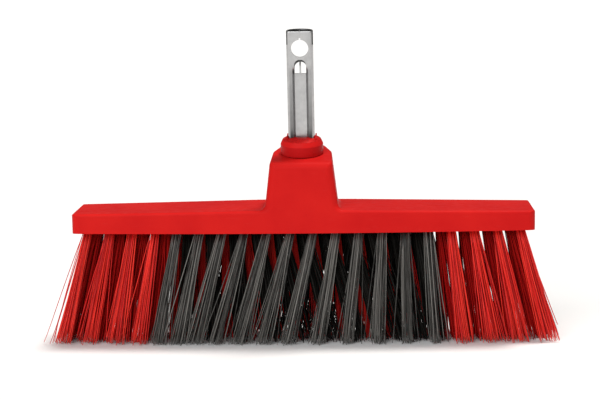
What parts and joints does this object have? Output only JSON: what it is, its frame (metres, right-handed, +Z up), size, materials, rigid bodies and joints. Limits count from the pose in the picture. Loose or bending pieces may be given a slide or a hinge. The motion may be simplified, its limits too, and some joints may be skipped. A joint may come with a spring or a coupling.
{
  "type": "push broom head",
  "caption": "Push broom head: moulded board and neck, red and black bristle rows, and a folded steel shank that a clip-on handle snaps onto.",
  "frame": {"origin": "on the floor, under the middle of the board, where the middle of the bristle tips rests", "axes": "+X along the board, -Y the front face, +Z up from the bristle tips to the shank"},
  "size_m": [0.4298, 0.063, 0.26],
  "materials": {
    "red_plastic": "moulded, satin, fine grain",
    "dark_red_plastic": "moulded, satin",
    "zinc_steel": "bright zinc plate on folded sheet",
    "screw_steel": "zinc plate",
    "red_bristle": "extruded filament, light sheen",
    "black_bristle": "extruded filament, light sheen"
  },
  "bodies": {
    "root": {"head": "red_plastic", "collar": "dark_red_plastic", "shank": "zinc_steel", "shank_screw": "screw_steel", "tufts_row_1_block_1": "red_bristle", "tufts_row_1_block_2": "black_bristle", "tufts_row_1_block_3": "black_bristle", "tufts_row_1_block_4": "black_bristle", "tufts_row_1_block_5": "red_bristle", "tufts_row_2_block_1": "red_bristle", "tufts_row_2_block_2": "black_bristle", "tufts_row_2_block_3": "black_bristle", "tufts_row_2_block_4": "black_bristle", "tufts_row_2_block_5": "red_bristle", "tufts_row_3_block_1": "red_bristle", "tufts_row_3_block_2": "red_bristle", "tufts_row_3_block_3": "red_bristle", "tufts_row_3_block_4": "red_bristle", "tufts_row_3_block_5": "red_bristle", "tufts_row_4_block_1": "red_bristle", "tufts_row_4_block_2": "black_bristle", "tufts_row_4_block_3": "black_bristle", "tufts_row_4_block_4": "black_bristle", "tufts_row_4_block_5": "red_bristle", "tufts_row_5_block_1": "red_bristle", "tufts_row_5_block_2": "black_bristle", "tufts_row_5_block_3": "black_bristle", "tufts_row_5_block_4": "black_bristle", "tufts_row_5_block_5": "red_bristle"}
  },
  "joints": []
}
